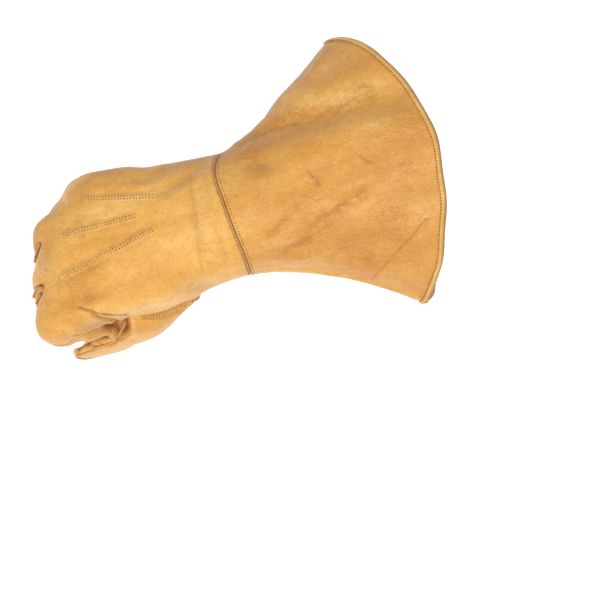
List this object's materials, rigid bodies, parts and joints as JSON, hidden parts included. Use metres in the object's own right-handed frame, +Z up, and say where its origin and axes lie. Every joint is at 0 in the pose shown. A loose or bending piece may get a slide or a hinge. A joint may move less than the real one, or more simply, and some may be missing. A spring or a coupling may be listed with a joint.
{
  "type": "gauntlet glove",
  "caption": "Right-hand leather gauntlet glove in the form of a loose fist, with a long flared cuff, bound rim and a pull strap with a metal ring at the wrist.",
  "frame": {"origin": "centre of the wrist seam, where the worn glove is held on the wrist", "axes": "+X from the wrist to the cuff mouth, +Y to the little finger side, +Z up to the back of the hand"},
  "size_m": [0.3217, 0.2147, 0.1727],
  "materials": {
    "hand_leather": "golden tan grain leather, soft sheen",
    "thumb_leather": "golden tan grain leather, soft sheen",
    "cuff_leather": "golden tan grain leather with streaks and scars",
    "edge_leather": "folded leather edge",
    "strap_suede": "rough flesh side of leather",
    "dark_steel": "dark plated wire"
  },
  "bodies": {
    "root": {"hand_shell": "hand_leather", "finger_shell": "hand_leather", "thumb_shell": "thumb_leather", "cuff_shell": "cuff_leather", "rim_binding": "edge_leather", "wrist_welt": "edge_leather", "strap_tab": "strap_suede", "pull_strap": "strap_suede", "strap_ring": "dark_steel"}
  },
  "joints": []
}
